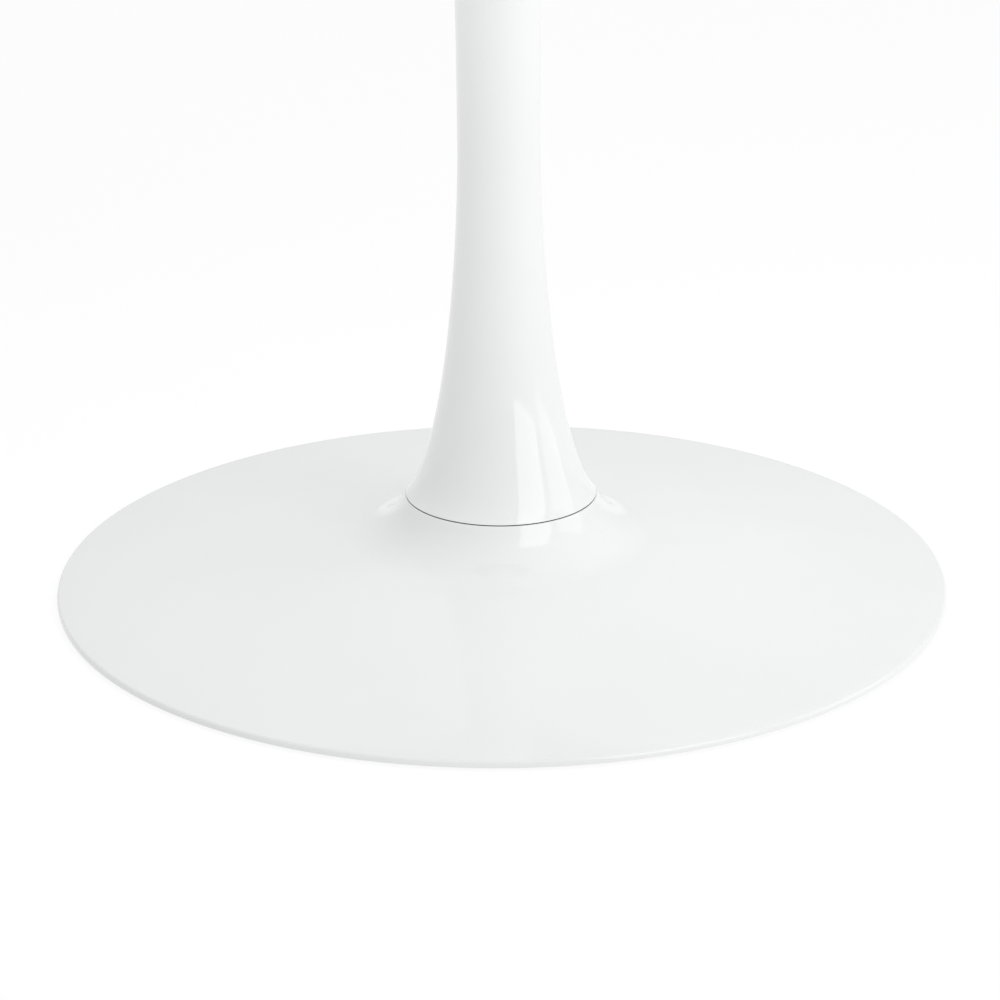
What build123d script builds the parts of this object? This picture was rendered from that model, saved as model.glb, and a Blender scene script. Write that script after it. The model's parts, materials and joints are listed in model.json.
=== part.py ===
"""Round pedestal table: a pressed steel foot, a flared steel column and a round top.

Millimetres, +Z up, origin on the floor at the middle of the foot.
"""
import os
from math import cos, radians, sin, tan

from build123d import *

os.makedirs("parts", exist_ok=True)

# ---------------------------------------------------------------- driving dimensions
fit = 0.05  # radial play of close cylinders

# table top
table_height = 750.0
top_radius = 515.0
top_thickness = 20.0
top_edge_height = 7.0  # upright band above the underside's bevel
top_bevel_width = 60.0
top_edge_round = 1.5

# base shell: shallow cone, steep collar, rolled shoulder at the rim
foot_radius = 330.0
floor_gap = 2.0  # under the rim with the glides screwed right in
sheet = 2.5
cone_angle = 8.8  # rise of the cone above level
rim_corner_z = 6.4  # where the cone's line meets the rim's wall
rim_wall_top = 5.6
shoulder_width = 12.0
hem_width = 4.0
collar_angle = 28.0  # lean of the collar from upright
collar_top_radius = 71.2
collar_top_z = 71.7
collar_fillet = 54.0

# seam between the shell and the column
seam_gap = 0.6
gasket_setback = 0.5
dowel_radius = 3.0
dowel_circle = 52.0
dowel_count = 2
dowel_length = 11.6
dowel_depth = 4.5  # below the shell's lip

# column: two curves that meet at the waist
column_foot_radius = 71.0
waist_radius = 29.9
waist_z = 335.0
column_top_radius = 62.5
foot_lean = 42.0  # lean of the wall from upright at the seam
foot_pull = 48.0  # length of each curve's end handles
waist_pull_down = 60.0
waist_pull_up = 170.0
top_pull = 70.0
top_lean = 24.0
column_wall = 4.0
column_foot_ring = 7.8
column_top_ring = 11.0
column_bore = 42.0

# top plate and its fixings
plate_radius = 150.0
plate_thickness = 5.0
plate_gasket = 1.0
plate_screw_circle = 132.0
plate_screw_count = 8
plate_hole_radius = 3.3
plate_screw_radius = 2.95
plate_screw_length = 18.0
plate_screw_head_radius = 6.0
plate_screw_head = 3.8
plate_screw_key = 4.0
plate_screw_key_depth = 2.2
plate_washer = 1.2
plate_washer_radius = 7.0
insert_radius = 4.5
insert_length = 13.0
socket_radius = 12.0
socket_drop = 20.0  # below the plate's underside
socket_clearance = 0.4
socket_depth = 23.0

# ballast
weight_thickness = 8.0
weight_radius = 285.0
weight_edge_radius = 264.0  # where the cone ends in a flat-bottomed ring
weight_bore = 58.0
weight_floor = 4.5  # lowest metal of the casting
seat_radius = 100.0
rib_count = 8
rib_width = 8.0
rib_depth = 9.0
cushion = 0.8
cushion_inner = 262.0
cushion_outer = 282.0

# hub
hub_foot_radius = 82.0
hub_foot = 8.0
hub_neck_radius = 56.0
hub_neck_bottom = 52.5
hub_flange_radius = 62.0
hub_flange = 8.5
hub_cavity = 30.0
web_bottom = 56.0
web_bore = 6.6
spigot_radius = 41.8
spigot_bore = 34.0
spigot_height = 10.5
lip_clearance = 0.4
hub_bolt_circle = 70.0
hub_bolt_count = 6
hub_bolt_radius = 3.95
hub_bolt_clearance = 0.55
hub_bolt_head = 5.3
hub_bolt_washer = 1.6
hub_bolt_washer_radius = 8.0

# tie rod M12 and its nut, reached from below
rod_radius = 5.9
rod_bottom = 36.0
rod_end = 2.0  # above the plate's underside
rod_washer_radius = 22.0
rod_washer = 3.0
lock_washer_radius = 10.5
lock_washer = 2.5
rod_nut_flats = 19.0
rod_nut = 10.0

# levelling glides, M8 in threaded bushes
glide_circle = 245.0
glide_count = 4
glide_start_angle = 45.0
spot_face_radius = 12.0
boss_bottom = 7.5
boss_top = 13.5
bush_radius = 6.0
bush_flange_radius = 9.0
bush_flange = 0.8
bush_top = 14.8
thread_radius = 3.95
stud_top = 15.4
stud_flats = 13.0
stud_hex_top = 6.5
stud_neck_radius = 4.1
stud_foot_radius = 5.1
stud_foot_bottom = 2.1
stud_foot_top = 3.2
pad_radius = 15.0
pad_bottom = 1.0
pad_top = 4.0
pad_floor = 2.0
pad_lip_bottom = 3.3
pad_lip_radius = 4.3
pad_cavity_radius = 5.3
sole_radius = 13.0
sole_top = 1.6

# ---------------------------------------------------------------- derived sizes
top_underside = table_height - top_thickness
plate_bottom = top_underside - plate_thickness
column_top = plate_bottom - plate_gasket
column_bottom = collar_top_z + seam_gap
lip_bottom = collar_top_z - sheet
lip_inner = spigot_radius + lip_clearance
shoulder_start = foot_radius - shoulder_width
hem_inner = foot_radius - hem_width
dowel_bottom = lip_bottom - dowel_depth
ballast_gap = sheet + cushion  # from the shell's outer face down to the ballast
cone_slope = tan(radians(cone_angle))
collar_slope = tan(radians(collar_angle))


def cone_z(radius, inset=0.0):
    """Height of the cone at a radius, moved in by a distance square to it."""
    return rim_corner_z + (foot_radius - radius) * cone_slope - inset / cos(radians(cone_angle))


def collar_r(z, inset=0.0):
    """Radius of the collar's line at a height, moved in by a distance square to it."""
    return collar_top_radius + (collar_top_z - z) * collar_slope - inset / cos(radians(collar_angle))


def collar_corner(inset=0.0):
    """Sharp corner where the cone's line and the collar's line cross."""
    level = cone_z(0, inset)
    reach = collar_r(0, inset)
    radius = (reach - collar_slope * level) / (1 - collar_slope * cone_slope)
    return radius, cone_z(radius, inset)


def save(builder, name):
    """Label a finished piece and write its file."""
    builder.part.label = name
    export_step(builder.part, f"parts/{name}.step")


seat_top = cone_z(seat_radius, ballast_gap)
seat_bottom = seat_top - weight_thickness
rod_top = plate_bottom + rod_end
rod_washer_bottom = web_bottom - rod_washer
lock_washer_bottom = rod_washer_bottom - lock_washer
rod_nut_bottom = lock_washer_bottom - rod_nut

# ---------------------------------------------------------------- base shell
outer_corner = collar_corner()
inner_corner = collar_corner(sheet)

with BuildPart() as base_shell:
    with BuildSketch(Plane.XZ) as shell_section:
        with BuildLine():
            Bezier(
                (foot_radius, rim_wall_top),
                (foot_radius, rim_corner_z),
                (shoulder_start, cone_z(shoulder_start)),
            )
            Polyline(
                (shoulder_start, cone_z(shoulder_start)),
                outer_corner,
                (collar_top_radius, collar_top_z),
                (lip_inner, collar_top_z),
                (lip_inner, lip_bottom),
                (collar_r(lip_bottom, sheet), lip_bottom),
                inner_corner,
                (hem_inner, cone_z(hem_inner, sheet)),
                (hem_inner, floor_gap),
                (foot_radius, floor_gap),
                (foot_radius, rim_wall_top),
            )
        make_face()
        fillet(shell_section.vertices().sort_by_distance(outer_corner)[0], collar_fillet)
        fillet(shell_section.vertices().sort_by_distance(inner_corner)[0], collar_fillet + sheet)
    revolve(axis=Axis.Z)
    with BuildSketch(Plane.XY.offset(collar_top_z)):
        with PolarLocations(dowel_circle, dowel_count):
            Circle(dowel_radius + fit)
    extrude(amount=-sheet, mode=Mode.SUBTRACT)
save(base_shell, "base_shell")

# ---------------------------------------------------------------- seam gasket and dowels
with BuildPart() as seam_gasket:
    with BuildSketch(Plane.XY.offset(collar_top_z)):
        Circle(column_foot_radius - gasket_setback)
        Circle(lip_inner, mode=Mode.SUBTRACT)
        with PolarLocations(dowel_circle, dowel_count):
            Circle(dowel_radius + fit, mode=Mode.SUBTRACT)
    extrude(amount=seam_gap)
save(seam_gasket, "seam_gasket")

with BuildPart() as column_dowels:
    with BuildSketch(Plane.XY.offset(dowel_bottom)):
        with PolarLocations(dowel_circle, dowel_count):
            Circle(dowel_radius)
    extrude(amount=dowel_length)
save(column_dowels, "column_dowels")

# ---------------------------------------------------------------- column
waist = Vector(waist_radius, waist_z)
column_foot = Vector(column_foot_radius, column_bottom)
column_head = Vector(column_top_radius, column_top)
foot_rise = Vector(-sin(radians(foot_lean)), cos(radians(foot_lean)))
head_drop = Vector(-sin(radians(top_lean)), -cos(radians(top_lean)))
lower_flare = [
    column_foot,
    column_foot + foot_rise * foot_pull,
    waist - Vector(0, waist_pull_down),
    waist,
]
upper_flare = [
    waist,
    waist + Vector(0, waist_pull_up),
    column_head + head_drop * top_pull,
    column_head,
]
wall = Vector(column_wall, 0)

with BuildPart() as stem_column:
    with BuildSketch(Plane.XZ):
        with BuildLine():
            Bezier(*lower_flare)
            Bezier(*upper_flare)
            Polyline(column_head, (0, column_top), (0, column_bottom), column_foot)
        make_face()
    revolve(axis=Axis.Z)
    # hollow between the foot ring and the top ring
    with BuildSketch(Plane.XZ):
        with BuildLine():
            Bezier(*[point - wall for point in lower_flare])
            Bezier(*[point - wall for point in upper_flare])
            Polyline(
                column_head - wall,
                (0, column_top),
                (0, column_bottom),
                column_foot - wall,
            )
        make_face()
        with Locations((0, column_bottom + column_foot_ring)):
            Rectangle(
                column_foot_radius,
                column_top - column_bottom - column_foot_ring - column_top_ring,
                align=(Align.MIN, Align.MIN),
                mode=Mode.INTERSECT,
            )
    revolve(axis=Axis.Z, mode=Mode.SUBTRACT)
    with BuildSketch(Plane.XY.offset(column_bottom)):
        Circle(column_bore)
        with PolarLocations(dowel_circle, dowel_count):
            Circle(dowel_radius + fit)
    extrude(amount=column_foot_ring, mode=Mode.SUBTRACT)
    with BuildSketch(Plane.XY.offset(column_top)):
        Circle(socket_radius + socket_clearance)
    extrude(amount=-column_top_ring, mode=Mode.SUBTRACT)
save(stem_column, "stem_column")

# ---------------------------------------------------------------- top plate, gasket, rod socket
with BuildPart() as top_gasket:
    with BuildSketch(Plane.XY.offset(column_top)):
        Circle(column_top_radius - gasket_setback)
        Circle(socket_radius + socket_clearance, mode=Mode.SUBTRACT)
    extrude(amount=plate_gasket)
save(top_gasket, "top_gasket")

with BuildPart() as top_plate:
    with BuildSketch(Plane.XY.offset(plate_bottom)):
        Circle(plate_radius)
        Circle(socket_radius + fit, mode=Mode.SUBTRACT)
        with PolarLocations(plate_screw_circle, plate_screw_count):
            Circle(plate_hole_radius, mode=Mode.SUBTRACT)
    extrude(amount=plate_thickness)
    round_edges = top_plate.edges().filter_by(GeomType.CIRCLE)
    chamfer(round_edges.sort_by(SortBy.RADIUS)[-2:], plate_thickness / 5)
save(top_plate, "top_plate")

with BuildPart() as rod_socket:
    with BuildSketch(Plane.XY.offset(plate_bottom - socket_drop)):
        Circle(socket_radius)
    extrude(amount=socket_drop + plate_thickness)
    with BuildSketch(Plane.XY.offset(plate_bottom - socket_drop)):
        Circle(rod_radius + fit)
    extrude(amount=socket_depth, mode=Mode.SUBTRACT)
    chamfer(rod_socket.edges().group_by(Axis.Z)[0], rod_radius / 6)
save(rod_socket, "rod_socket")

# ---------------------------------------------------------------- screws into the table top
washer_bottom = plate_bottom - plate_washer
head_bottom = washer_bottom - plate_screw_head

with BuildPart() as plate_screws:
    with BuildSketch(Plane.XY.offset(head_bottom)):
        with PolarLocations(plate_screw_circle, plate_screw_count):
            Circle(plate_screw_head_radius)
    extrude(amount=plate_screw_head)
    fillet(plate_screws.edges().group_by(Axis.Z)[0], plate_screw_head / 3)
    with BuildSketch(Plane.XY.offset(head_bottom)):
        with PolarLocations(plate_screw_circle, plate_screw_count):
            RegularPolygon(plate_screw_key / 2, 6, major_radius=False)
    extrude(amount=plate_screw_key_depth, mode=Mode.SUBTRACT)
    with BuildSketch(Plane.XY.offset(washer_bottom)):
        with PolarLocations(plate_screw_circle, plate_screw_count):
            Circle(plate_screw_radius)
    extrude(amount=plate_screw_length)
save(plate_screws, "plate_screws")

with BuildPart() as plate_screw_washers:
    with BuildSketch(Plane.XY.offset(washer_bottom)):
        with PolarLocations(plate_screw_circle, plate_screw_count):
            Circle(plate_washer_radius)
            Circle(plate_hole_radius, mode=Mode.SUBTRACT)
    extrude(amount=plate_washer)
save(plate_screw_washers, "plate_screw_washers")

with BuildPart() as top_inserts:
    with BuildSketch(Plane.XY.offset(top_underside)):
        with PolarLocations(plate_screw_circle, plate_screw_count):
            Circle(insert_radius)
            Circle(plate_screw_radius + fit, mode=Mode.SUBTRACT)
    extrude(amount=insert_length)
save(top_inserts, "top_inserts")

# ---------------------------------------------------------------- table top
bevel_top = table_height - top_edge_height
bevel_inner = top_radius - top_bevel_width

with BuildPart() as tabletop:
    with BuildSketch(Plane.XZ) as top_section:
        with BuildLine():
            Polyline(
                (0, top_underside),
                (bevel_inner, top_underside),
                (top_radius, bevel_top),
                (top_radius, table_height),
                (0, table_height),
                close=True,
            )
        make_face()
        fillet(top_section.vertices().sort_by(Axis.X)[-2:], top_edge_round)
    revolve(axis=Axis.Z)
    with BuildSketch(Plane.XY.offset(top_underside)):
        with PolarLocations(plate_screw_circle, plate_screw_count):
            Circle(insert_radius + fit)
    extrude(amount=insert_length, mode=Mode.SUBTRACT)
save(tabletop, "tabletop")

# ---------------------------------------------------------------- ballast
with BuildPart() as base_weight:
    with BuildSketch(Plane.XZ):
        with BuildLine():
            Polyline(
                (weight_bore, seat_bottom),
                (seat_radius, seat_bottom),
                (weight_edge_radius, cone_z(weight_edge_radius, ballast_gap) - weight_thickness),
                (weight_edge_radius, weight_floor),
                (weight_radius, weight_floor),
                (weight_radius, cone_z(weight_radius, ballast_gap)),
                (seat_radius, seat_top),
                (weight_bore, seat_top),
                close=True,
            )
        make_face()
    revolve(axis=Axis.Z)
    # ribs under the cone, running out to the edge ring
    for index in range(rib_count):
        turn = radians(360 / rib_count * (index + 0.5))
        outward = (cos(turn), sin(turn), 0)
        sideways = (sin(turn), -cos(turn), 0)
        with BuildSketch(Plane(origin=(0, 0, 0), x_dir=outward, z_dir=sideways)):
            with BuildLine():
                Polyline(
                    (seat_radius - rib_width, seat_bottom + 1),
                    (seat_radius - rib_width, seat_bottom - rib_depth),
                    (weight_edge_radius + 1, weight_floor),
                    (weight_edge_radius + 1, weight_floor + 2),
                    close=True,
                )
            make_face()
        extrude(amount=rib_width / 2, both=True)
    with BuildSketch(Plane.XY.offset(boss_bottom)):
        with PolarLocations(glide_circle, glide_count, start_angle=glide_start_angle):
            Circle(spot_face_radius)
    extrude(amount=boss_top - boss_bottom)
    with BuildSketch(Plane.XY.offset(boss_bottom)):
        with PolarLocations(glide_circle, glide_count, start_angle=glide_start_angle):
            Circle(spot_face_radius)
    extrude(amount=-boss_bottom, mode=Mode.SUBTRACT)
    with BuildSketch(Plane.XY):
        with PolarLocations(glide_circle, glide_count, start_angle=glide_start_angle):
            Circle(bush_radius + fit)
        with PolarLocations(hub_bolt_circle, hub_bolt_count):
            Circle(hub_bolt_radius + hub_bolt_clearance)
    extrude(amount=collar_top_z, mode=Mode.SUBTRACT)
save(base_weight, "base_weight")

with BuildPart() as shell_cushion_ring:
    with BuildSketch(Plane.XZ):
        with BuildLine():
            Polyline(
                (cushion_inner, cone_z(cushion_inner, ballast_gap)),
                (cushion_outer, cone_z(cushion_outer, ballast_gap)),
                (cushion_outer, cone_z(cushion_outer, sheet)),
                (cushion_inner, cone_z(cushion_inner, sheet)),
                close=True,
            )
        make_face()
    revolve(axis=Axis.Z)
save(shell_cushion_ring, "shell_cushion_ring")

# ---------------------------------------------------------------- hub
hub_foot_top = seat_top + hub_foot
hub_flange_bottom = lip_bottom - hub_flange

with BuildPart() as base_hub:
    with BuildSketch(Plane.XZ):
        with BuildLine():
            Polyline(
                (hub_cavity, seat_top),
                (hub_foot_radius, seat_top),
                (hub_foot_radius, hub_foot_top),
                (hub_flange_radius, hub_foot_top),
                (hub_neck_radius, hub_neck_bottom),
                (hub_neck_radius, web_bottom),
                (hub_flange_radius, hub_flange_bottom),
                (hub_flange_radius, lip_bottom),
                (spigot_radius, lip_bottom),
                (spigot_radius, lip_bottom + spigot_height),
                (spigot_bore, lip_bottom + spigot_height),
                (spigot_bore, lip_bottom),
                (web_bore, lip_bottom),
                (web_bore, web_bottom),
                (hub_cavity, web_bottom),
                close=True,
            )
        make_face()
    revolve(axis=Axis.Z)
    with BuildSketch(Plane.XY.offset(seat_top)):
        with PolarLocations(hub_bolt_circle, hub_bolt_count):
            Circle(hub_bolt_radius + fit)
    extrude(amount=hub_foot, mode=Mode.SUBTRACT)
    with BuildSketch(Plane.XY.offset(dowel_bottom)):
        with PolarLocations(dowel_circle, dowel_count):
            Circle(dowel_radius + fit)
    extrude(amount=dowel_depth, mode=Mode.SUBTRACT)
save(base_hub, "base_hub")

bolt_washer_bottom = seat_bottom - hub_bolt_washer
bolt_head_bottom = bolt_washer_bottom - hub_bolt_head

with BuildPart() as hub_bolts:
    with BuildSketch(Plane.XY.offset(bolt_head_bottom)):
        with PolarLocations(hub_bolt_circle, hub_bolt_count):
            RegularPolygon(stud_flats / 2, 6, major_radius=False)
    extrude(amount=hub_bolt_head)
    with BuildSketch(Plane.XY.offset(bolt_washer_bottom)):
        with PolarLocations(hub_bolt_circle, hub_bolt_count):
            Circle(hub_bolt_radius)
    extrude(amount=hub_foot_top - bolt_washer_bottom - 1)
save(hub_bolts, "hub_bolts")

with BuildPart() as hub_bolt_washers:
    with BuildSketch(Plane.XY.offset(bolt_washer_bottom)):
        with PolarLocations(hub_bolt_circle, hub_bolt_count):
            Circle(hub_bolt_washer_radius)
            Circle(hub_bolt_radius + hub_bolt_clearance, mode=Mode.SUBTRACT)
    extrude(amount=hub_bolt_washer)
save(hub_bolt_washers, "hub_bolt_washers")

# ---------------------------------------------------------------- tie rod, washers and nut
with BuildPart() as tie_rod:
    with BuildSketch(Plane.XY.offset(rod_bottom)):
        Circle(rod_radius)
    extrude(amount=rod_top - rod_bottom)
    chamfer(tie_rod.edges().filter_by(GeomType.CIRCLE), rod_radius / 6)
save(tie_rod, "tie_rod")

with BuildPart() as rod_plate_washer:
    with BuildSketch(Plane.XY.offset(rod_washer_bottom)):
        Circle(rod_washer_radius)
        Circle(web_bore, mode=Mode.SUBTRACT)
    extrude(amount=rod_washer)
save(rod_plate_washer, "rod_plate_washer")

with BuildPart() as rod_lock_washer:
    with BuildSketch(Plane.XY.offset(lock_washer_bottom)):
        Circle(lock_washer_radius)
        Circle(web_bore, mode=Mode.SUBTRACT)
        with Locations((lock_washer_radius, 0)):
            Rectangle(lock_washer_radius, 1, mode=Mode.SUBTRACT)
    extrude(amount=lock_washer)
save(rod_lock_washer, "rod_lock_washer")

with BuildPart() as rod_nut_piece:
    with BuildSketch(Plane.XY.offset(rod_nut_bottom)):
        RegularPolygon(rod_nut_flats / 2, 6, major_radius=False)
        Circle(rod_radius + fit, mode=Mode.SUBTRACT)
    extrude(amount=rod_nut)
save(rod_nut_piece, "rod_nut")

# ---------------------------------------------------------------- levelling glides
with BuildPart() as glide_bushes:
    with BuildSketch(Plane.XY.offset(boss_bottom - bush_flange)):
        with PolarLocations(glide_circle, glide_count, start_angle=glide_start_angle):
            Circle(bush_flange_radius)
    extrude(amount=bush_flange)
    with BuildSketch(Plane.XY.offset(boss_bottom)):
        with PolarLocations(glide_circle, glide_count, start_angle=glide_start_angle):
            Circle(bush_radius)
    extrude(amount=bush_top - boss_bottom)
    with BuildSketch(Plane.XY.offset(boss_bottom - bush_flange)):
        with PolarLocations(glide_circle, glide_count, start_angle=glide_start_angle):
            Circle(thread_radius + fit)
    extrude(amount=bush_top, mode=Mode.SUBTRACT)
save(glide_bushes, "glide_bushes")

pad_outline = [
    (0, sole_top),
    (sole_radius + fit, sole_top),
    (sole_radius + fit, pad_bottom),
    (pad_radius, pad_bottom),
    (pad_radius, pad_top),
    (pad_lip_radius, pad_top),
    (pad_lip_radius, pad_lip_bottom),
    (pad_cavity_radius, pad_lip_bottom),
    (pad_cavity_radius, pad_floor),
    (0, pad_floor),
]


def make_glide(name, spot):
    """Stud, pad and sole of one glide, standing on the floor below its bush."""
    side = Plane(origin=spot, x_dir=(1, 0, 0), z_dir=(0, -1, 0))
    upright = Axis(spot, (0, 0, 1))

    with BuildPart() as stud:
        with BuildSketch(side):
            with BuildLine():
                Polyline(
                    (0, stud_foot_bottom),
                    (stud_foot_radius, stud_foot_bottom),
                    (stud_foot_radius, stud_foot_top),
                    (stud_neck_radius, stud_foot_top),
                    (stud_neck_radius, pad_top),
                    (thread_radius, pad_top),
                    (thread_radius, stud_top - 1),
                    (thread_radius - 1, stud_top),
                    (0, stud_top),
                    close=True,
                )
            make_face()
        revolve(axis=upright)
        with BuildSketch(Plane(spot).offset(pad_top)):
            RegularPolygon(stud_flats / 2, 6, major_radius=False)
        extrude(amount=stud_hex_top - pad_top)
    save(stud, f"{name}_stud")

    with BuildPart() as pad:
        with BuildSketch(side):
            with BuildLine():
                Polyline(*pad_outline, close=True)
            make_face()
        revolve(axis=upright)
        top_edges = pad.edges().filter_by(GeomType.CIRCLE).group_by(Axis.Z)[-1]
        fillet(top_edges.sort_by(SortBy.RADIUS)[-1], pad_top / 5)
    save(pad, f"{name}_pad")

    with BuildPart() as sole:
        with BuildSketch(Plane(spot)):
            Circle(sole_radius)
        extrude(amount=sole_top)
        fillet(sole.edges().group_by(Axis.Z)[0], sole_top / 4)
    save(sole, f"{name}_sole")


for number in range(glide_count):
    angle = radians(glide_start_angle + 360 / glide_count * number)
    make_glide(f"glide_{number + 1}", (glide_circle * cos(angle), glide_circle * sin(angle), 0))
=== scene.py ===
"""Looks of the round pedestal table: turned meshes, finishes, studio and camera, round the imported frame."""
import json
import math

import bpy
from mathutils import Matrix, Vector


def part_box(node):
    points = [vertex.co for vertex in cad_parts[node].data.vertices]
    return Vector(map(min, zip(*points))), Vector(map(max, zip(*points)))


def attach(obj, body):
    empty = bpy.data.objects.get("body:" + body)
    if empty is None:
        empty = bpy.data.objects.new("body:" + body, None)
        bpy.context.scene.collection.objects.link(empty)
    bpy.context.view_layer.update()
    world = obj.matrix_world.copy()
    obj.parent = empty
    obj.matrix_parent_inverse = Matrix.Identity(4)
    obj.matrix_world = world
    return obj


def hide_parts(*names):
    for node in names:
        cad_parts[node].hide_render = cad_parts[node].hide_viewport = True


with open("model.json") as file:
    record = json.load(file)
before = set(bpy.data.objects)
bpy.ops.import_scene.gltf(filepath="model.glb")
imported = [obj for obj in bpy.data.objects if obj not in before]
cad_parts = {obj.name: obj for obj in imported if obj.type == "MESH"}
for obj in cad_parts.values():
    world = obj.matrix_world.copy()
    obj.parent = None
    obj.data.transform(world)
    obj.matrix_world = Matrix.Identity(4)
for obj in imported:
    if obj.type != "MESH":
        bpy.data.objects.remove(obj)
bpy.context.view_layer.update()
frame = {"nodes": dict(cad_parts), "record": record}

MM = 0.001

# ---------------------------------------------------------------- sizes of the foot and column, mm
FOOT_RADIUS = 330.0
FLOOR_GAP = 2.0
SHEET = 2.5
CONE_SLOPE = math.tan(math.radians(8.8))
RIM_CORNER_Z = 6.4
RIM_ROUND = 2.6
SHOULDER_START = 318.0
HEM_INNER = 326.0
COLLAR_ANGLE = math.radians(28.0)
COLLAR_TOP = (71.2, 71.7)
COLLAR_FILLET = 54.0
LIP_INNER = 42.2
COLUMN_FOOT = (71.0, 72.3)
COLUMN_BORE = 42.0
WAIST = (29.9, 335.0)
FOOT_LEAN = math.radians(42.0)
FOOT_PULL = 48.0
WAIST_PULL_DOWN = 60.0
WAIST_PULL_UP = 170.0
COLUMN_TOP_RADIUS = 62.5
TOP_LEAN = math.radians(24.0)
TOP_PULL = 70.0
COLUMN_TOP_BORE = 12.4
COLUMN_WALL = 4.0
FOOT_RING = 7.8
TOP_RING = 11.0
GASKET_SETBACK = 0.5
TOP_BEVEL_WIDTH = 60.0
TOP_EDGE_HEIGHT = 7.0
TOP_BEVEL_ROUND = 12.0
TOP_EDGE_ROUND = 1.5
PAINT_ROUND = 0.35  # paint softens every pressed or turned corner

# ---------------------------------------------------------------- fineness of the meshes
STEPS_ROUND = 384
ARC_STEPS = 6
EDGE_STEPS = 8
RIM_STEPS = 12
CONE_STEPS = 24
FILLET_STEPS = 32
LOWER_CURVE_STEPS = 96
UPPER_CURVE_STEPS = 72
HOLLOW_STRIDE = 6
TOP_UNDER_STEPS = 12
TOP_FACE_STEPS = 24
SHARP_ANGLE = math.radians(30.0)


# ---------------------------------------------------------------- outlines, as (radius, height) in mm
def bezier(points, count):
    """Points along a Bezier curve of any degree, both ends included."""
    degree = len(points) - 1
    line = []
    for step in range(count + 1):
        t = step / count
        weights = [math.comb(degree, k) * (1 - t) ** (degree - k) * t**k for k in range(degree + 1)]
        line.append(tuple(sum(w * p[axis] for w, p in zip(weights, points)) for axis in (0, 1)))
    return line


def rounded(before, corner, after, radius, count=ARC_STEPS):
    """Points of the arc that rounds one corner of an outline."""
    a = unit(before[0] - corner[0], before[1] - corner[1])
    b = unit(after[0] - corner[0], after[1] - corner[1])
    half = math.acos(max(-1.0, min(1.0, a[0] * b[0] + a[1] * b[1]))) / 2
    reach = radius / math.tan(half)
    middle = unit(a[0] + b[0], a[1] + b[1])
    centre = tuple(corner[k] + middle[k] * radius / math.sin(half) for k in (0, 1))
    start = math.atan2(corner[1] + a[1] * reach - centre[1], corner[0] + a[0] * reach - centre[0])
    end = math.atan2(corner[1] + b[1] * reach - centre[1], corner[0] + b[0] * reach - centre[0])
    turn = (end - start + math.pi) % (2 * math.pi) - math.pi
    angles = [start + turn * step / count for step in range(count + 1)]
    return [(centre[0] + radius * math.cos(t), centre[1] + radius * math.sin(t)) for t in angles]


def unit(x, y):
    size = math.hypot(x, y)
    return x / size, y / size


def straight(start, end, count):
    """Points between two ends, both left out."""
    share = [(step + 1) / (count + 1) for step in range(count)]
    return [(start[0] + (end[0] - start[0]) * t, start[1] + (end[1] - start[1]) * t) for t in share]


def cone_z(radius, inset=0.0):
    return RIM_CORNER_Z + (FOOT_RADIUS - radius) * CONE_SLOPE - inset * math.hypot(1, CONE_SLOPE)


def collar_r(z, inset=0.0):
    return COLLAR_TOP[0] + (COLLAR_TOP[1] - z) * math.tan(COLLAR_ANGLE) - inset / math.cos(COLLAR_ANGLE)


def collar_corner(inset=0.0):
    """Sharp corner between the cone and the collar."""
    slope = math.tan(COLLAR_ANGLE)
    radius = (collar_r(0, inset) - slope * cone_z(0, inset)) / (1 - slope * CONE_SLOPE)
    return radius, cone_z(radius, inset)


def shell_outline():
    """The pressed foot's section, from its lip over the cone to the rim and back underneath."""
    lip_z = COLLAR_TOP[1] - SHEET
    shoulder_end = (SHOULDER_START, cone_z(SHOULDER_START))
    rim_corner, rim_foot = (FOOT_RADIUS, RIM_CORNER_Z), (FOOT_RADIUS, FLOOR_GAP)
    hem_foot, hem_top = (HEM_INNER, FLOOR_GAP), (HEM_INNER, cone_z(HEM_INNER, SHEET))
    lip_under = (collar_r(lip_z, SHEET), lip_z)
    outer, inner = collar_corner(), collar_corner(SHEET)
    line = [(LIP_INNER, COLLAR_TOP[1])]
    line += rounded((LIP_INNER, COLLAR_TOP[1]), COLLAR_TOP, outer, PAINT_ROUND)
    line += rounded(COLLAR_TOP, outer, shoulder_end, COLLAR_FILLET, FILLET_STEPS)
    line += straight(line[-1], shoulder_end, CONE_STEPS)
    line += [shoulder_end]
    line += rounded(shoulder_end, rim_corner, rim_foot, RIM_ROUND, RIM_STEPS)
    line += rounded(line[-1], rim_foot, hem_foot, PAINT_ROUND)
    line += rounded(line[-1], hem_foot, hem_top, PAINT_ROUND)
    line += [hem_top]
    line += rounded(hem_top, inner, lip_under, COLLAR_FILLET + SHEET, FILLET_STEPS // 2)
    line += [lip_under, (LIP_INNER, lip_z)]
    return line[::-1]


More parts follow.
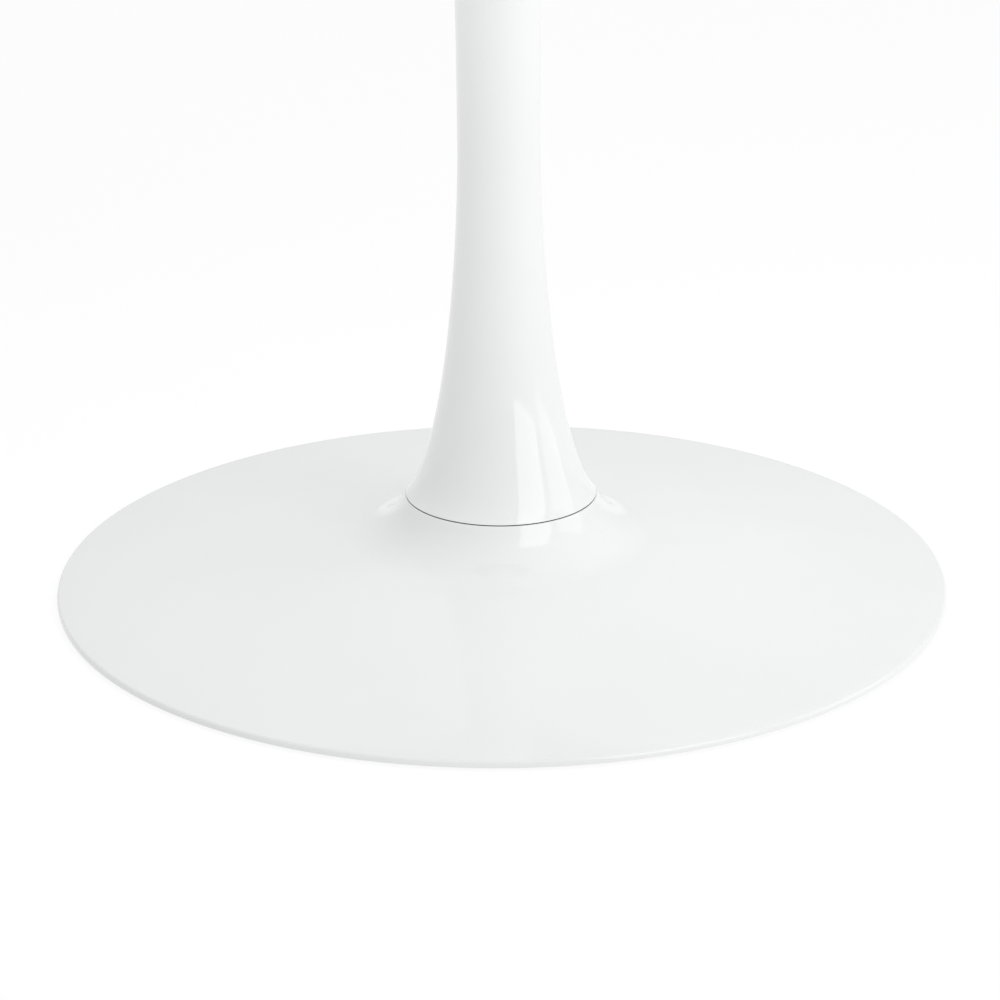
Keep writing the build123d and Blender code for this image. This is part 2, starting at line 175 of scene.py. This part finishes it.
def column_outline():
    """The column's section: outer flare, the ring at each end and the hollow between them."""
    plate_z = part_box("top_gasket")[0][2] / MM
    head = (COLUMN_TOP_RADIUS, plate_z)
    foot_handle = (
        COLUMN_FOOT[0] - math.sin(FOOT_LEAN) * FOOT_PULL,
        COLUMN_FOOT[1] + math.cos(FOOT_LEAN) * FOOT_PULL,
    )
    head_handle = (
        head[0] - math.sin(TOP_LEAN) * TOP_PULL,
        head[1] - math.cos(TOP_LEAN) * TOP_PULL,
    )
    waist_under = (WAIST[0], WAIST[1] - WAIST_PULL_DOWN)
    waist_over = (WAIST[0], WAIST[1] + WAIST_PULL_UP)
    lower = bezier([COLUMN_FOOT, foot_handle, waist_under, WAIST], LOWER_CURVE_STEPS)
    upper = bezier([WAIST, waist_over, head_handle, head], UPPER_CURVE_STEPS)
    ring_top, ring_under = COLUMN_FOOT[1] + FOOT_RING, plate_z - TOP_RING
    outside = (lower + upper[1:])[::HOLLOW_STRIDE]
    hollow = [(r - COLUMN_WALL, z) for r, z in outside if ring_top < z < ring_under]
    line = [(COLUMN_BORE, COLUMN_FOOT[1])]
    line += rounded(line[0], COLUMN_FOOT, foot_handle, PAINT_ROUND)
    line += [point for point in lower if point[1] > COLUMN_FOOT[1] + PAINT_ROUND]
    line += upper[1:] + [(COLUMN_TOP_BORE, plate_z), (COLUMN_TOP_BORE, ring_under)]
    line += [(hollow[-1][0], ring_under)] + hollow[::-1] + [(hollow[0][0], ring_top)]
    line += [(COLUMN_BORE, ring_top)]
    return line


def gasket_outline():
    """A soft ring whose edge sits a little back from the paint on either side."""
    low, high = COLLAR_TOP[1], COLUMN_FOOT[1]
    edge = COLUMN_FOOT[0] - GASKET_SETBACK
    bulge = (high - low) / 4
    line = [(LIP_INNER, low), (edge - bulge, low)]
    line += bezier([(edge - bulge, low), (edge, low), (edge, high), (edge - bulge, high)], EDGE_STEPS)
    line += [(LIP_INNER, high)]
    return line


def top_outline():
    """The table top's section, centre to centre, with a bevelled underside."""
    low, high = (corner[2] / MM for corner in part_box("tabletop"))
    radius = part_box("tabletop")[1][1] / MM
    bevel = (radius - TOP_BEVEL_WIDTH, low)
    edge_low, edge_high = (radius, high - TOP_EDGE_HEIGHT), (radius, high)
    line = [(0.0, low)] + straight((0, low), bevel, TOP_UNDER_STEPS)
    line += rounded((0, low), bevel, edge_low, TOP_BEVEL_ROUND, EDGE_STEPS)
    line += rounded(bevel, edge_low, edge_high, TOP_EDGE_ROUND, EDGE_STEPS)
    line += rounded(edge_low, edge_high, (0, high), TOP_EDGE_ROUND, EDGE_STEPS)
    line += straight(edge_high, (0, high), TOP_FACE_STEPS) + [(0.0, high)]
    return line


# ---------------------------------------------------------------- meshes
def turned(name, outline, closed, node):
    """Turn an outline about the table's axis, as the piece that stands for a CAD node."""
    points, faces, rings = [], [], []
    for radius, height in outline:
        if radius < 1e-6:
            rings.append([len(points)])
            points.append((0.0, 0.0, height * MM))
            continue
        ring = []
        for step in range(STEPS_ROUND):
            angle = 2 * math.pi * step / STEPS_ROUND
            ring.append(len(points))
            points.append((radius * MM * math.cos(angle), radius * MM * math.sin(angle), height * MM))
        rings.append(ring)
    pairs = list(zip(rings, rings[1:]))
    if closed:
        pairs.append((rings[-1], rings[0]))
    for low, high in pairs:
        for step in range(STEPS_ROUND):
            after = (step + 1) % STEPS_ROUND
            if len(low) == 1:
                faces.append((low[0], high[after], high[step]))
            elif len(high) == 1:
                faces.append((low[step], low[after], high[0]))
            else:
                faces.append((low[step], low[after], high[after], high[step]))
    mesh = bpy.data.meshes.new(name)
    mesh.from_pydata(points, [], faces)
    mesh.validate()
    piece = bpy.data.objects.new(name, mesh)
    bpy.context.scene.collection.objects.link(piece)
    mesh.shade_smooth()
    mesh.set_sharp_from_angle(angle=SHARP_ANGLE)
    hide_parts(node)
    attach(piece, "base")
    return piece


# ---------------------------------------------------------------- finishes, in metres
NOISE_LOW = 0.3
NOISE_HIGH = 0.7
CLOUD_SIZE = 0.12
WAVE_SIZE = 0.16
WAVE_DEPTH = 0.00012
PAINT_IOR = 1.5


def finish_tree(name):
    """A new material, its node tree and its shader."""
    material = bpy.data.materials.new(name)
    material.use_nodes = True
    return material, material.node_tree, material.node_tree.nodes["Principled BSDF"]


def noise(tree, size, detail):
    """Noise over the object's own space, with features about size metres across."""
    place = tree.nodes.new("ShaderNodeTexCoord")
    texture = tree.nodes.new("ShaderNodeTexNoise")
    texture.inputs["Scale"].default_value = 1 / size
    texture.inputs["Detail"].default_value = detail
    tree.links.new(place.outputs["Object"], texture.inputs["Vector"])
    return texture.outputs["Fac"]


def spread(tree, value, low, high):
    """Carry noise over its usual range to a range from low to high."""
    node = tree.nodes.new("ShaderNodeMapRange")
    node.inputs["From Min"].default_value = NOISE_LOW
    node.inputs["From Max"].default_value = NOISE_HIGH
    node.inputs["To Min"].default_value = low
    node.inputs["To Max"].default_value = high
    tree.links.new(value, node.inputs["Value"])
    return node.outputs["Result"]


def tint(tree, value, dark, light):
    """A colour between two others, by noise over its usual range."""
    node = tree.nodes.new("ShaderNodeValToRGB")
    node.color_ramp.elements[0].color = (*dark, 1)
    node.color_ramp.elements[0].position = NOISE_LOW
    node.color_ramp.elements[1].color = (*light, 1)
    node.color_ramp.elements[1].position = NOISE_HIGH
    tree.links.new(value, node.inputs["Fac"])
    return node.outputs["Color"]


def bumped(tree, shader, height, depth, under=None):
    """Raise the surface by height times depth, in metres, on top of another bump."""
    node = tree.nodes.new("ShaderNodeBump")
    node.inputs["Strength"].default_value = 1.0
    node.inputs["Distance"].default_value = depth
    tree.links.new(height, node.inputs["Height"])
    if under is not None:
        tree.links.new(under, node.inputs["Normal"])
    tree.links.new(node.outputs["Normal"], shader.inputs["Normal"])
    return node.outputs["Normal"]


def gloss_white(name, dark, light, rough, peel_size, peel_depth):
    """Sprayed gloss finish: near-white, with a faint orange peel and slow waves in the sheet."""
    material, tree, shader = finish_tree(name)
    cloud = noise(tree, CLOUD_SIZE, 2.0)
    tree.links.new(tint(tree, cloud, dark, light), shader.inputs["Base Color"])
    tree.links.new(spread(tree, noise(tree, 0.03, 4.0), *rough), shader.inputs["Roughness"])
    wave = bumped(tree, shader, noise(tree, WAVE_SIZE, 1.0), WAVE_DEPTH)
    bumped(tree, shader, noise(tree, peel_size, 2.0), peel_depth, under=wave)
    shader.inputs["IOR"].default_value = PAINT_IOR
    return material


def rubber(name, dark, light, grain):
    """Matte moulded rubber, plastic or foam with a fine grain."""
    material, tree, shader = finish_tree(name)
    tree.links.new(tint(tree, noise(tree, 0.004, 5.0), dark, light), shader.inputs["Base Color"])
    tree.links.new(spread(tree, noise(tree, 0.002, 3.0), 0.5, 0.75), shader.inputs["Roughness"])
    bumped(tree, shader, noise(tree, grain, 4.0), grain / 6)
    return material


def painted_casting(name):
    """Sand-cast iron under black primer: pitted, with paint worn thin in places."""
    material, tree, shader = finish_tree(name)
    patch = noise(tree, 0.02, 6.0)
    dark, light = (0.018, 0.018, 0.02), (0.055, 0.055, 0.058)
    tree.links.new(tint(tree, patch, dark, light), shader.inputs["Base Color"])
    tree.links.new(spread(tree, noise(tree, 0.008, 4.0), 0.45, 0.8), shader.inputs["Roughness"])
    sand = bumped(tree, shader, noise(tree, 0.0012, 5.0), 0.0003)
    bumped(tree, shader, noise(tree, 0.012, 4.0), 0.0008, under=sand)
    return material


def powder_black(name):
    """Satin black powder coat on steel plate."""
    material, tree, shader = finish_tree(name)
    dark, light = (0.020, 0.020, 0.022), (0.030, 0.030, 0.032)
    tree.links.new(tint(tree, noise(tree, 0.05, 3.0), dark, light), shader.inputs["Base Color"])
    tree.links.new(spread(tree, noise(tree, 0.01, 4.0), 0.34, 0.46), shader.inputs["Roughness"])
    bumped(tree, shader, noise(tree, 0.0016, 2.0), 0.00012)
    return material


def metal(name, dark, light, rough):
    """Plated or machined metal with cloudy plating and faint tool marks."""
    material, tree, shader = finish_tree(name)
    shader.inputs["Metallic"].default_value = 1.0
    tree.links.new(tint(tree, noise(tree, 0.006, 5.0), dark, light), shader.inputs["Base Color"])
    tree.links.new(spread(tree, noise(tree, 0.003, 4.0), *rough), shader.inputs["Roughness"])
    bumped(tree, shader, noise(tree, 0.0006, 3.0), 0.00003)
    return material


FINISHES = {
    "white_paint": gloss_white(
        "white_paint", (0.716, 0.727, 0.723), (0.729, 0.739, 0.736), (0.03, 0.06), 0.0028, 0.000008
    ),
    "white_lacquer": gloss_white(
        "white_lacquer", (0.72, 0.73, 0.727), (0.732, 0.741, 0.738), (0.09, 0.14), 0.0020, 0.000008
    ),
    "dark_gasket": rubber("dark_gasket", (0.012, 0.012, 0.014), (0.025, 0.025, 0.027), 0.0006),
    "foam": rubber("foam", (0.02, 0.02, 0.022), (0.05, 0.05, 0.052), 0.0012),
    "nylon": rubber("nylon", (0.022, 0.022, 0.024), (0.032, 0.032, 0.034), 0.0004),
    "sole_rubber": rubber("sole_rubber", (0.05, 0.05, 0.052), (0.085, 0.085, 0.087), 0.0008),
    "cast_iron": painted_casting("cast_iron"),
    "plate_paint": powder_black("plate_paint"),
    "zinc_steel": metal("zinc_steel", (0.55, 0.55, 0.52), (0.68, 0.68, 0.67), (0.24, 0.40)),
    "brass": metal("brass", (0.66, 0.48, 0.22), (0.78, 0.60, 0.32), (0.20, 0.34)),
}


def paint_node(node, slot):
    """Give a carried-over CAD node its finish."""
    slots = node.material_slots
    if not slots:
        node.data.materials.append(FINISHES[slot])
    for index in range(len(node.material_slots)):
        node.material_slots[index].material = FINISHES[slot]


slot_of = {part["node"]: part["material_slot"] for part in frame["record"]["subparts"]}
for node_name, node in frame["nodes"].items():
    paint_node(node, slot_of[node_name])

TURNED = {
    "foot_shell": ("base_shell", shell_outline(), True),
    "flared_column": ("stem_column", column_outline(), True),
    "seam_ring": ("seam_gasket", gasket_outline(), True),
    "round_top": ("tabletop", top_outline(), False),
}
for piece_name, (node_name, outline, closed) in TURNED.items():
    piece = turned(piece_name, outline, closed, node_name)
    piece.data.materials.append(FINISHES[slot_of[node_name]])

# ---------------------------------------------------------------- studio
FLOOR_REACH = 60.0
FLOOR_SIDES = 64
FLOOR_GLOW = 0.84
FLOOR_COLOUR = (0.15, 0.15, 0.15, 1)
FILL_DIAMETER = 1.0
FILL_CLEARANCE = 0.004
FILL_POWER = 2.24
WORLD_LEVEL = 0.75
WORLD_SLOPE = (-0.055, 0.098, 0.131)
# left and right foot of each panel as (degrees, metres), its lower and upper edge, and its watts
PANELS = {
    "panel_front": ((24.5, 2.95), (62.0, 3.90), (0.08, 4.60), 61.6),
    "panel_side": ((70.5, 1.90), (102.5, 1.90), (0.0, 1.22), 3.59),
}


def make_floor():
    """A plain pale floor, lit evenly from within like a product table."""
    points = []
    for step in range(FLOOR_SIDES):
        angle = 2 * math.pi * step / FLOOR_SIDES
        points.append((FLOOR_REACH * math.cos(angle), FLOOR_REACH * math.sin(angle), 0.0))
    mesh = bpy.data.meshes.new("floor")
    mesh.from_pydata(points, [], [tuple(range(FLOOR_SIDES))])
    floor = bpy.data.objects.new("floor", mesh)
    bpy.context.scene.collection.objects.link(floor)
    material, tree, shader = finish_tree("floor")
    shader.inputs["Base Color"].default_value = FLOOR_COLOUR
    shader.inputs["Roughness"].default_value = 0.9
    shader.inputs["Specular IOR Level"].default_value = 0.0
    shader.inputs["Emission Color"].default_value = (1, 1, 1, 1)
    shader.inputs["Emission Strength"].default_value = FLOOR_GLOW
    material.cycles.emission_sampling = "NONE"
    mesh.materials.append(material)


def stand(azimuth, distance):
    """A point on the floor, by degrees round to the right of the camera's side."""
    turn = math.radians(azimuth)
    return distance * math.sin(turn), -distance * math.cos(turn)


def make_panel(name, left, right, heights, power):
    """An upright soft panel whose sides stand at two points, each an azimuth and a distance."""
    (left_x, left_y), (right_x, right_y) = stand(*left), stand(*right)
    light = bpy.data.lights.new(name, "AREA")
    light.shape = "RECTANGLE"
    light.size = math.hypot(right_x - left_x, right_y - left_y)
    light.size_y = heights[1] - heights[0]
    light.energy = power
    panel = bpy.data.objects.new(name, light)
    bpy.context.scene.collection.objects.link(panel)
    panel.location = ((left_x + right_x) / 2, (left_y + right_y) / 2, sum(heights) / 2)
    panel.rotation_euler = (math.radians(90), 0, math.atan2(right_y - left_y, right_x - left_x))
    panel.visible_camera = False


def make_world():
    """Soft light from everywhere, a little stronger overhead, behind and on the left."""
    world = bpy.data.worlds.new("studio")
    world.use_nodes = True
    tree = world.node_tree
    place = tree.nodes.new("ShaderNodeTexCoord")
    slope = tree.nodes.new("ShaderNodeVectorMath")
    slope.operation = "DOT_PRODUCT"
    slope.inputs[1].default_value = WORLD_SLOPE
    level = tree.nodes.new("ShaderNodeMath")
    level.operation = "ADD"
    level.inputs[1].default_value = WORLD_LEVEL
    tree.links.new(place.outputs["Generated"], slope.inputs[0])
    tree.links.new(slope.outputs["Value"], level.inputs[0])
    tree.links.new(level.outputs["Value"], tree.nodes["Background"].inputs["Strength"])
    tree.nodes["Background"].inputs["Color"].default_value = (1, 1, 1, 1)
    bpy.context.scene.world = world


def make_fill():
    """Soft fill under the table top, so that the foot isn't in its shade; not mirrored in the gloss."""
    light = bpy.data.lights.new("fill_under_top", "AREA")
    light.shape = "DISK"
    light.size = FILL_DIAMETER
    light.energy = FILL_POWER
    fill = bpy.data.objects.new("fill_under_top", light)
    bpy.context.scene.collection.objects.link(fill)
    fill.location = (0, 0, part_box("plate_screws")[0][2] - FILL_CLEARANCE)
    fill.visible_camera = False
    fill.visible_glossy = False


make_floor()
make_world()
make_fill()
for panel_name, panel in PANELS.items():
    make_panel(panel_name, *panel)

# ---------------------------------------------------------------- camera
CAMERA_SIDE = -0.0008
CAMERA_DISTANCE = 2.4054
CAMERA_HEIGHT = 0.9841
CAMERA_PITCH = 0.3649
CAMERA_ROLL = -0.0062
CAMERA_LENS = 125.05
CAMERA_SENSOR = 36.0


def make_camera():
    data = bpy.data.cameras.new("camera")
    data.lens = CAMERA_LENS
    data.sensor_width = CAMERA_SENSOR
    camera = bpy.data.objects.new("camera", data)
    bpy.context.scene.collection.objects.link(camera)
    forward = Vector((0, math.cos(CAMERA_PITCH), -math.sin(CAMERA_PITCH)))
    facing = forward.to_track_quat("-Z", "Y").to_matrix().to_4x4()
    place = Matrix.Translation((CAMERA_SIDE, -CAMERA_DISTANCE, CAMERA_HEIGHT))
    camera.matrix_world = place @ facing @ Matrix.Rotation(CAMERA_ROLL, 4, "Z")
    bpy.context.scene.camera = camera


make_camera()
bpy.context.scene.view_settings.view_transform = "Standard"
